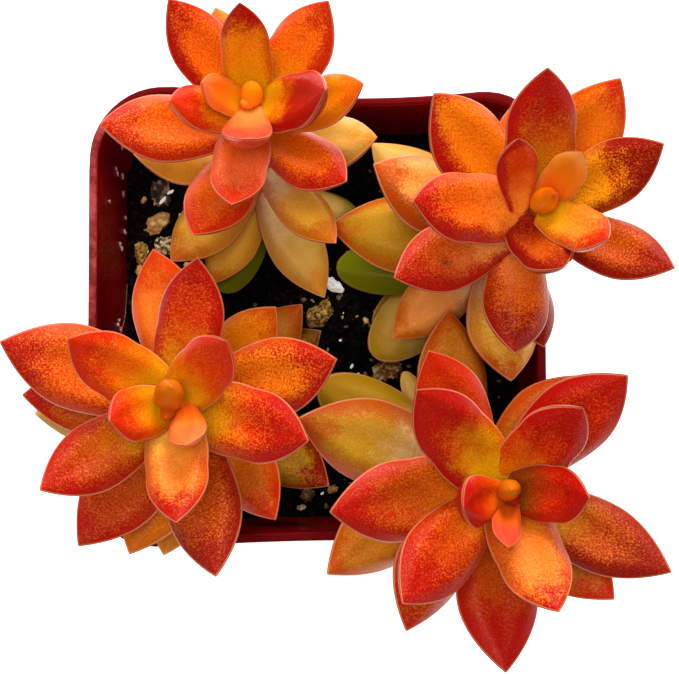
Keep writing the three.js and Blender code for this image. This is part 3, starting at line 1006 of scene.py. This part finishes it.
# Partly painted shade: every margin turns redder and darker towards its edge.
margin_red_and_shade_mask = maths(leaf_group, "MULTIPLY", soft_step(leaf_group, width_share, 0.55, 1.0), taken["Margin red"])
spared = 1.0
for field in (at_tip, left_red_and_shade, right_red_and_shade, margin_red_and_shade_mask, over_blade):
    spared = maths(leaf_group, "MULTIPLY", spared, maths(leaf_group, "SUBTRACT", 1.0, field))
redness = maths(leaf_group, "SUBTRACT", 1.0, spared)
calm = soft_step(leaf_group, width_share, 1.0, 0.55)
graininess = maths(leaf_group, "MULTIPLY", graininess, maths(leaf_group, "MULTIPLY_ADD", calm, 0.7, 0.3))
swing = maths(leaf_group, "MULTIPLY", maths(leaf_group, "SUBTRACT", grains, 0.5), graininess)
share = maths(leaf_group, "MULTIPLY_ADD", swing, 0.95, redness)
share = soft_step(leaf_group, share, -0.1, 0.95)
colour = mix_colours(leaf_group, share, ground, attribute(leaf_group, "leaf_tip").outputs["Color"])
specks = maths(leaf_group, "MULTIPLY", soft_step(leaf_group, grains, 0.45, 0.0), graininess)
specks = maths(leaf_group, "MULTIPLY", specks, maths(leaf_group, "MULTIPLY_ADD", share, -0.24, 0.32))
colour = mix_colours(leaf_group, specks, colour, paint(250, 150, 50))

spot = attribute(leaf_group, "leaf_spot")
here = place_node(leaf_group, "ShaderNodeTexCoord").outputs["Object"]
gap = place_node(
    leaf_group, "ShaderNodeVectorMath", {0: here, 1: spot.outputs["Vector"]}, operation="DISTANCE"
).outputs["Value"]
gap = maths(leaf_group, "DIVIDE", gap, maths(leaf_group, "MAXIMUM", spot.outputs["Alpha"], 0.01 * MM))
gap = maths(leaf_group, "ADD", gap, maths(leaf_group, "MULTIPLY", drift, 3.0))
bruise = maths(leaf_group, "MULTIPLY", soft_step(leaf_group, gap, 1.1, 0.3), 0.8)
colour = mix_colours(leaf_group, bruise, colour, paint(48, 14, 4))

# Painted highlight: a pale line along the rim of each grainy leaf.
ripened = soft_step(leaf_group, blush.outputs["Alpha"], 0.0, 0.2)
rim_highlight_strength = maths(leaf_group, "MULTIPLY", ripened, taken["Pale rim"])
rim = maths(leaf_group, "MULTIPLY", soft_step(leaf_group, inward, 0.065, 0.035), rim_highlight_strength)
colour = mix_colours(leaf_group, rim, colour, paint(246, 172, 122))
outline = maths(leaf_group, "MULTIPLY", soft_step(leaf_group, inward, 0.035, 0.012), 0.75)
colour = mix_colours(leaf_group, outline, colour, paint(110, 22, 12))
leaf_group.links.new(colour, given.inputs["Color"])
leaf_group.links.new(share, given.inputs["Redness"])
leaf_group.links.new(maths(leaf_group, "MULTIPLY", grains, graininess), given.inputs["Height"])
print("Node group:", leaf_group.name)

# %% Finish the young and the old leaves
def finish_leaf(name, grain, rim, margin_red_and_shade_amount, gloss, **sockets):
    skin, tree, shader = start_finish(name, **sockets)
    colour, redness, height = use_group(
        tree, leaf_group, Grain_mm=grain, Pale_rim=rim, Margin_red=margin_red_and_shade_amount
    )
    tree.links.new(colour, shader.inputs["Base Color"])
    dulled = maths(tree, "MULTIPLY_ADD", height, 0.1, gloss)
    tree.links.new(dulled, shader.inputs["Roughness"])
    add_relief(tree, shader, height, 0.05 * MM)
    return skin


# After the grain size come the strength of the painted rim highlight, the margins' red and painted shade,
# and the roughness.
young_skin = finish_leaf(
    "young_leaf_skin", 0.21, 0.4, 0.3, 0.27,
    Specular_IOR_Level=0.22, Specular_Tint=(1, 0.5, 0.35, 1), Subsurface_Weight=0.05,
    Subsurface_Radius=(1.0, 0.3, 0.1), Subsurface_Scale=1.2 * MM,
)
old_skin = finish_leaf(
    "old_leaf_skin", 0.24, 0.55, 0.35, 0.34,
    Specular_IOR_Level=0.2, Specular_Tint=(1, 0.7, 0.4, 1), Subsurface_Weight=0.1,
    Subsurface_Radius=(1.0, 0.5, 0.2), Subsurface_Scale=1.8 * MM,
)
stem_skin, tree, shader = start_finish("stem_skin", Specular_IOR_Level=0.3, Subsurface_Weight=0.1,
                                       Subsurface_Radius=(1.0, 0.6, 0.3), Subsurface_Scale=1.0 * MM)
scars = cloud(tree, 1.0, 3.0, 1.3)
bark_tone = mix_colours(tree, cloud(tree, 3.0), paint(150, 128, 74), paint(188, 160, 104))
tree.links.new(mix_colours(tree, soft_step(tree, scars, 0.75, 0.95), bark_tone, paint(104, 74, 48)),
               shader.inputs["Base Color"])
tree.links.new(maths(tree, "MULTIPLY_ADD", scars, 0.2, 0.5), shader.inputs["Roughness"])
add_relief(tree, shader, scars, 0.1 * MM)
print("Leaf finishes:", young_skin.name, old_skin.name, stem_skin.name)

# %% [markdown]
# ## The shoots
#
# A shoot is a bending stem with leaves set round it, youngest at the crown. Each
# row below is one leaf, from the crown down: its bearing (anticlockwise from the
# right), its rise above the level, its length and its width in millimetres (0 is
# the usual share of its length), its three paints, how far along the tip's red
# starts, how red its left and right margins are as seen from the stem, and how
# grainy it is. Some rows end in two more numbers: how far to the right and to the
# back of the stem's line the leaf starts, where leaves crowd the crown. The CAD
# model has the same leaves in two plain colours, apart from the small ones at the
# crowns and a few others, whose tips lie up to about 4 mm from these, and one small
# green leaf that is only here.

# %% List the leaves
# Some paints below also hold painted light: paler ones lift shaded lower leaves, darker ones stand for the
# shade of the crowns' pits, and pale pink ones for a sheen.
SHOOTS = {
    "back_left": {
        "root": (-7.9, 13.0), "crown": (-6.9, 23.5, 77), "young": 15,
        "leaves": (
            (200, 60, 3.0, 1.6, "amber apricot apricot", 1.1, 0, 0, 0.2),
            (85, 58, 4.4, 2.7, "tangerine honey honey", 1.1, 0, 0, 0.2),
            (268, 60, 11, 5.8, "peach salmon rose", 0.72, 0.2, 0.1, 0.4),
            (165, 56, 9.5, 0, "gold tangerine salmon", 0.85, 0.1, 0.2, 0.4),
            (0, 52, 14.5, 7.2, "gold vermilion crimson", 0.45, 0.3, 0.9, 0.5),
            (94, 48, 15, 5.8, "gold honey crimson", 0.76, 0.2, 0.3, 0.5),
            (184, 50, 13.5, 5.8, "honey honey scarlet", 0.62, 0.4, 0.1, 0.6),
            (265, 40, 15, 6.6, "orange salmon scarlet", 0.8, 0.2, 0.2, 0.6, -0.7, -0.6),
            (52, 30, 17, 0, "gold tangerine scarlet", 0.85, 0.3, 0.7, 0.7),
            (127, 28, 17.5, 7.5, "amber orange crimson", 0.85, 0.8, 0.2, 0.7),
            (11, 36, 16.5, 6.6, "honey honey orange", 0.85, 0.1, 0.2, 0.5),
            (184, 22, 19, 0, "orange orange crimson", 0.85, 0.5, 0.1, 0.7),
            (325, 32, 16, 0, "amber orange crimson", 0.8, 0.2, 0.5, 0.7),
            # Painted highlight: salmon and peach for a pink sheen.
            (108, 28, 15.8, 0, "salmon peach peach", 0.85, 0.2, 0.2, 0.5),
            (243, 32, 17.5, 0, "orange orange scarlet", 0.85, 0.6, 0.2, 0.7),
            (358, 27, 16.5, 0, "cream sand tan", 0.9, 0.2, 0.2, 0.4),
            (80, 26, 14, 0, "peach salmon salmon", 0.9, 0.2, 0.2, 0.3),
            (184, 23, 16, 0, "cream straw tan", 0.85, 0.2, 0.2, 0.25),
            # Painted light: ivory and corn lift the next two shaded leaves.
            (311, 25, 16.5, 6.2, "ivory straw bronze", 0.85, 0.3, 0.4, 0.4),
            (230, 15, 17, 0, "corn corn bronze", 0.88, 0.2, 0.2, 0.3),
            (297, 0, 18, 7.3, "ivory sand tan", 0.85, 0.3, 0.3, 0.3),
            (245, -2, 15, 0, "straw corn bronze", 0.9, 0.1, 0.1, 0.3),
            (250, -6, 14.6, 6.8, "green green green", 0.95, 0, 0, 0.05),
            (349, -6, 12.5, 5.6, "green sand green", 0.9, 0, 0, 0.05),
        ),
    },
    "back_right": {
        "root": (17.4, 5.7), "crown": (26.5, 11.3, 79), "young": 16,
        "leaves": (
            (350, 60, 3.2, 1.4, "amber amber orange", 1.1, 0, 0, 0.2),
            (25, 62, 5.2, 3.0, "honey amber rust", 0.9, 0, 0, 0.2, -0.9, 0),
            (95, 50, 11.4, 5.0, "apricot vermilion crimson", 0.9, 0.9, 0, 0.5, -2.6, -0.8),
            (325, 50, 12.5, 0, "gold apricot scarlet", 0.8, 0.1, 0.3, 0.6),
            (53, 48, 10, 0, "orange amber peach", 0.85, 0.1, 0.1, 0.2),
            # Painted shade: maroon and rust darken this brightly lit leaf.
            (305, 46, 11.4, 6.2, "maroon rust maroon", 0.8, 0, 0.95, 0.6, -2.6, -1.0),
            (89, 36, 18, 0, "gold rust crimson", 0.7, 0.8, 0.2, 0.7),
            (180, 36, 18, 0, "apricot orange crimson", 0.8, 0.8, 0.1, 0.7),
            # Painted light: vermilion lifts this shaded leaf.
            (300, 34, 8.5, 4.0, "vermilion vermilion scarlet", 0.6, 0.2, 0.5, 0.5),
            (335, 26, 18.5, 7.2, "rust rust maroon", 0.8, 0.2, 0.7, 0.7),
            (27, 28, 18, 7.8, "gold honey maroon", 0.66, 0.1, 0.6, 0.7),
            (131, 26, 19.6, 9.6, "amber amber crimson", 0.97, 0.9, 0.1, 0.6),
            (57, 24, 20, 0, "orange amber scarlet", 0.92, 0.1, 0.3, 0.6),
            (205, 26, 19.3, 8.4, "peach rust crimson", 0.8, 0.7, 0.2, 0.8),
            (264, 28, 18, 0, "apricot orange maroon", 0.75, 0.3, 0.5, 0.7),
            (89, 24, 16.5, 0, "peach amber salmon", 0.9, 0.2, 0.2, 0.4),
            (156, 16, 19.5, 9.6, "straw peach rust", 0.85, 0.9, 0.2, 0.5),
            (284, 22, 15.5, 6.4, "orange rust maroon", 0.75, 0.4, 0.4, 0.6),
            (176, 2, 22, 10.2, "peach olive rust", 0.95, 0.3, 0.5, 0.4),
            (143, 0, 20.5, 9.4, "peach peach sand", 0.85, 0.2, 0.3, 0.3),
            (274, 12, 17.4, 9.4, "ivory corn rust", 0.88, 0.1, 0.2, 0.4),
            (221, 0, 17, 7.6, "ivory peach bronze", 0.88, 0.4, 0.1, 0.3),
            (185, -6, 19.6, 8, "green green green", 0.95, 0, 0, 0.05),
            (221, -8, 19, 8.6, "cream sand olive", 0.9, 0, 0, 0.2),
            (212, -10, 16, 7, "umber olive umber", 0.95, 0, 0, 0.2),
        ),
    },
    "front_left": {
        "root": (-12.0, -10.0), "crown": (-15.8, -11.3, 79.5), "young": 17,
        "leaves": (
            (262, 58, 4, 1.8, "umber rust amber", 1.1, 0, 0, 0.2),
            (60, 66, 6.2, 3.7, "bronze bronze amber", 1.1, 0, 0, 0.2, -0.5, 0),
            (281, 54, 8.6, 4.6, "orange apricot salmon", 0.6, 0, 0.4, 0.2, 1.5, 0.3),
            (198, 52, 10.2, 6.2, "gold orange scarlet", 0.7, 0.3, 0.2, 0.5),
            (44, 44, 13.5, 6.8, "gold vermilion scarlet", 0.75, 0.2, 0.2, 0.7),
            (276, 34, 16, 0, "corn apricot crimson", 0.78, 0.3, 0.3, 0.5),
            (147, 36, 16, 0, "gold orange scarlet", 0.72, 0.4, 0, 0.6),
            (345, 28, 18.5, 0, "gold vermilion crimson", 0.68, 0.3, 0.4, 0.9),
            (79, 26, 18.5, 7.8, "gold vermilion crimson", 0.82, 0.6, 0.6, 0.8),
            (214, 26, 19.5, 8.3, "gold rust crimson", 0.8, 0.6, 0.5, 0.8),
            (15, 20, 20.5, 0, "amber amber crimson", 0.82, 0.3, 0.7, 0.9),
            (284, 20, 21.5, 9.1, "orange rust maroon", 0.8, 0.5, 0.2, 0.8),
            (161, 14, 22.5, 0, "amber orange crimson", 0.82, 0.4, 0.1, 0.8),
            (100, 16, 19, 0, "apricot apricot vermilion", 0.8, 0.3, 0.2, 0.4),
            (234, 12, 21, 0, "amber rust crimson", 0.85, 0.4, 0.3, 0.8),
            (177, 9, 19.7, 0, "gold bronze crimson", 0.8, 0.3, 0.3, 0.6),
            (47, 20, 16.5, 0, "gold honey rust", 0.85, 0.2, 0.2, 0.5),
            (248, 14, 20, 0, "olive honey bronze", 0.8, 0.3, 0.3, 0.5),
            (305, 12, 17.5, 0, "straw bronze scarlet", 0.85, 0.3, 0.3, 0.6),
            (184, 16, 20.4, 0, "cream sand sand", 0.9, 0.2, 0.2, 0.3),
            (257, 15, 19.7, 0, "olive tan tan", 0.9, 0.2, 0.2, 0.4),
            (326, 0, 18.5, 0, "straw olive maroon", 0.85, 0.6, 0.2, 0.5),
            (47, 0, 17, 0, "tan tan rust", 0.9, 0.1, 0.1, 0.3),
            (34, -3, 16.4, 0, "umber olive umber", 0.9, 0.1, 0.1, 0.3),
        ),
    },
    "front_right": {
        "root": (11.5, -15.2), "crown": (22.5, -21.3, 79), "young": 16,
        "leaves": (
            # Painted shade: the buds' umber and maroon stand for the dark pit.
            (300, 62, 3.4, 1.8, "umber maroon rust", 1.1, 0, 0, 0.2),
            (80, 84, 5.5, 2.8, "umber bronze bronze", 1.1, 0, 0, 0.2),
            (195, 58, 10.5, 6, "orange scarlet crimson", 0.75, 0.3, 0.1, 0.4),
            (267, 52, 9.5, 3.4, "rust orange rose", 0.6, 0.1, 0.1, 0.3),
            # Painted shade: this leaf's umber foot is the shade of the pit.
            (357, 44, 12, 6.6, "umber scarlet crimson", 0.7, 0.1, 0.4, 0.5),
            (132, 32, 18, 0, "gold rust crimson", 0.6, 0.95, 0.2, 0.6),
            (49, 42, 16.5, 0, "amber scarlet crimson", 0.65, 0.3, 0.4, 0.7),
            (293, 36, 17.5, 0, "bronze apricot crimson", 0.85, 0.3, 0.2, 0.6),
            (187, 20, 21, 0, "amber rust crimson", 0.75, 0.6, 0.3, 0.7),
            (228, 30, 19.5, 0, "amber vermilion crimson", 0.7, 0.5, 0.3, 0.8),
            (42, 22, 20.6, 0, "amber scarlet crimson", 0.8, 0.9, 0.2, 0.7),
            (334, 12, 22.4, 8.6, "gold rust maroon", 0.75, 0.4, 0.8, 0.8),
            (273, 12, 21.8, 0, "rust rust crimson", 0.66, 0.5, 0.5, 0.5),
            (116, 26, 19, 0, "orange vermilion scarlet", 0.8, 0.3, 0.3, 0.6),
            (317, 8, 20, 0, "straw tan scarlet", 0.85, 0.3, 0.3, 0.6),
            (48, 10, 17, 0, "straw amber scarlet", 0.9, 0.3, 0.3, 0.5),
            (162, 8, 23, 0, "ivory olive rust", 0.88, 0.7, 0.6, 0.5),
            (246, 4, 20.5, 0, "straw bronze crimson", 0.85, 0.3, 0.3, 0.6),
            (215, 6, 21.4, 0, "olive tan rust", 0.9, 0.3, 0.3, 0.5),
            (96, -3, 20, 0, "straw tan rust", 0.88, 0.3, 0.3, 0.5),
            (149, -4, 20.6, 8.8, "cream olive olive", 0.85, 0.2, 0.2, 0.5),
            (119, -7, 13.5, 3.6, "olive sand sand", 0.95, 0.1, 0.1, 0.3),
        ),
    },
}
# The leaf's shoot and rank, then how far along and across the bruise is, and its radius.
BRUISES = {
    (SHOOTS["back_right"]["crown"], 13): (0.62, 0.1, 1.1),
    (SHOOTS["front_right"]["crown"], 11): (0.45, 0.2, 0.45),
    (SHOOTS["front_right"]["crown"], 16): (0.85, 0.1, 0.4),
    (SHOOTS["front_right"]["crown"], 20): (0.75, 0.1, 0.4),
}
print("Leaves:", sum(len(shoot["leaves"]) for shoot in SHOOTS.values()))

# %% [markdown]
# The stem's line is one quadratic curve from the root to the crown. Its points
# are wanted by their distance from the crown, so it is walked in 200 short steps
# and the steps' lengths are added up.

# %% Follow the stem
STEPS, HEAD_GAP = 200, 1.4


def walk_stem(shoot):
    """A function that gives the place and direction at a depth below the crown, and the length."""
    root = Vector((*shoot["root"], SOIL_TOP))
    crown = Vector(shoot["crown"])
    bend = root.lerp(crown, 0.8)
    bend.z = SOIL_TOP + (crown.z - SOIL_TOP) * 0.45
    points = [
        root * (1 - t) ** 2 + bend * 2 * t * (1 - t) + crown * t * t
        for t in (step / STEPS for step in range(STEPS + 1))
    ]
    walked = [0.0]
    for first, second in zip(points, points[1:]):
        walked.append(walked[-1] + (second - first).length)

    def at(depth):
        wanted = walked[-1] - depth
        step = next((i for i in range(STEPS) if walked[i + 1] >= wanted), STEPS - 1)
        share = (wanted - walked[step]) / (walked[step + 1] - walked[step])
        t = (step + share) / STEPS
        along = (bend - root) * (1 - t) + (crown - bend) * t
        return points[step].lerp(points[step + 1], share), along.normalized()

    return at, walked[-1]


def leaf_depth(shoot, rank):
    """How far below the crown a leaf grows: the older the leaf, the longer its stretch."""
    gap = 0 if rank < shoot["young"] else HEAD_GAP
    return 0.39 + 0.274 * rank + 0.038 * rank * rank + gap


for name, shoot in SHOOTS.items():
    print(name, "stem is", round(walk_stem(shoot)[1], 1), "mm long")

# %% [markdown]
# A copy of the leaf is bent upwards round a circle, then set on the stem: its
# length runs outwards, and its upper side turns to face up the stem. Old leaves
# are full of water, so their upper sides swell, and the lowest ones, which droop,
# have blunt tips. Those next to the crown clasp it with wide feet. The two youngest
# are copies of the unopened leaf, which starts a little deeper in the crown.

# %% Set a leaf on the stem
INCURVE = math.radians(14)
WIDTH_BY_LENGTH, THICK_BY_WIDTH = 0.46, 0.42
BUD_THICKNESS, BUD_DEPTH = 0.44, 0.9
PLUMP = 0.4
CLASPING, CLASP = range(3, 9), 1.2
DROOPING = -3


def set_leaf(shoot, rank):
    bearing, rise, length, width, paints, reach, left, right, grain, *shift = shoot["leaves"][rank]
    width = width or length * WIDTH_BY_LENGTH
    foot, axis = walk_stem(shoot)[0](leaf_depth(shoot, rank))
    blunt = rise < DROOPING
    bearing, rise = math.radians(bearing), math.radians(rise)
    out = Vector((math.cos(bearing) * math.cos(rise), math.sin(bearing) * math.cos(rise), math.sin(rise)))
    up = (axis - out * axis.dot(out)).normalized()
    side = up.cross(out)
    unopened = rank < 2
    foot += Vector((*(shift or (0, 0)), 0)) - out * (BUD_DEPTH if unopened else 0)
    plump = PLUMP if rank >= shoot["young"] else 0
    clasp = CLASP if rank in CLASPING else 0
    bend_radius = length / (2 * math.sin(INCURVE / 2))
    thickness = width * (BUD_THICKNESS if unopened else THICK_BY_WIDTH)

    master = bud if unopened else leaf
    copy = master.copy()
    copy.data = master.data.copy()
    bpy.context.collection.objects.link(copy)
    for vertex in copy.data.vertices:
        share, across, height = vertex.co
        full = leaf_fullness(min(share, 1))
        if height > MARGIN_HEIGHT * full:
            height += plump * max(full * full - across * across, 0)
        angle = (share - 0.5) * INCURVE
        forward = bend_radius * (math.sin(INCURVE / 2) + math.sin(angle))
        lift = bend_radius * (math.cos(INCURVE / 2) - math.cos(angle))
        wider = round_off(share) if blunt else 1
        lift += height * thickness * wider
        across *= wider * (1 + clasp * max(0.5 - share, 0))
        vertex.co = (foot + out * forward + up * lift + side * across * width / 2) * MM
    spot = (0, 0, 0, 0)
    if (shoot["crown"], rank) in BRUISES:
        share, across, radius = BRUISES[shoot["crown"], rank]
        place = foot + out * share * length + up * 0.1 + side * across * width / 2
        spot = (*(place * MM), radius * MM)
    dye(copy, *paints.split(), reach, left, right, grain, spot)
    return copy


print("Leaves bend by", round(math.degrees(INCURVE)), "degrees")

# %% [markdown]
# The stem itself is a circle that is drawn along the curve, ring by ring. Every
# second ring is a little wider, where a leaf once grew.

# %% Draw the stems
YOUNG_STEM, OLD_STEM, BURIED = 1.35, 2.1, 9


def draw_stem(shoot, top, bottom, radius, skin, buried=0.0):
    at = walk_stem(shoot)[0]
    rings = max(int((bottom - top) / 0.8), 2)
    points = [at(bottom + (top - bottom) * i / rings)[0] for i in range(rings + 1)]
    if buried:
        points.insert(0, points[0] - Vector((0, 0, buried)))
    stem = draw_tube([point * MM for point in points], radius * MM, rib=1.08)
    stem.data.materials.append(skin)
    dye(stem, "amber", "amber", "rust")
    return stem


for name, shoot in SHOOTS.items():
    young, count = shoot["young"], len(shoot["leaves"])
    split = leaf_depth(shoot, young - 1) + HEAD_GAP
    length = walk_stem(shoot)[1]
    parts = (
        ("rosette", range(young), young_skin,
         draw_stem(shoot, 1.0, split, YOUNG_STEM, young_skin)),
        ("stem", range(young, count), old_skin,
         draw_stem(shoot, split + 0.4, length, OLD_STEM, stem_skin, buried=BURIED)),
    )
    for part, ranks, skin, stem in parts:
        leaves = [set_leaf(shoot, rank) for rank in ranks]
        for copy in leaves:
            copy.data.materials.append(skin)
        piece = join(f"{name}_{part}", leaves + [stem])
        slot = "young_leaf" if part == "rosette" else "old_leaf"
        hand_over(piece, f"{name}_fleshy_{part}", slot, f"shoot_{name}_{part}")
for master in (leaf, bud):
    bpy.data.objects.remove(master)

# %% [markdown]
# ## Floor and light
#
# The picture has soft, even light from above and from behind, and a plain white
# surround. A white sky gives the even part. A lamp high over the plant lights the
# leaves' upper sides, and another behind it, like a window, gives them a soft sheen.
# The paper glows, so that it stays white.

# %% Set the floor and the light
let_go()
bpy.ops.mesh.primitive_plane_add(size=4)
floor = bpy.context.object
floor.name = "floor"
floor_skin, tree, shader = start_finish(
    "white_paper", Roughness=0.9, Specular_IOR_Level=0.1, Emission_Color=(1, 1, 1, 1), Emission_Strength=0.8
)
paper = mix_colours(tree, cloud(tree, 60.0), paint(248, 248, 248), paint(252, 252, 252))
tree.links.new(paper, shader.inputs["Base Color"])
floor.data.materials.append(floor_skin)

world = bpy.data.worlds.new("white_sky")
world.use_nodes = True
world.node_tree.nodes["Background"].inputs["Color"].default_value = (1, 1, 1, 1)
world.node_tree.nodes["Background"].inputs["Strength"].default_value = 0.3
bpy.context.scene.world = world


def hang_lamp(name, place, size, watts):
    """A square soft box that faces the plant; its place is in millimetres."""
    place = Vector(place) * MM
    bpy.ops.object.light_add(type="AREA", location=place)
    lamp = bpy.context.object
    lamp.name = name
    lamp.data.size = size * MM
    lamp.data.energy = watts
    to_plant = Vector((0, 0, 60 * MM)) - place
    lamp.rotation_euler = to_plant.to_track_quat("-Z", "Y").to_euler()
    return lamp


hang_lamp("top", (-40, 20, 540), 300, 1.55)
hang_lamp("window", (80, 430, 300), 260, 3.1)
print("Floor, sky and both lamps are set")
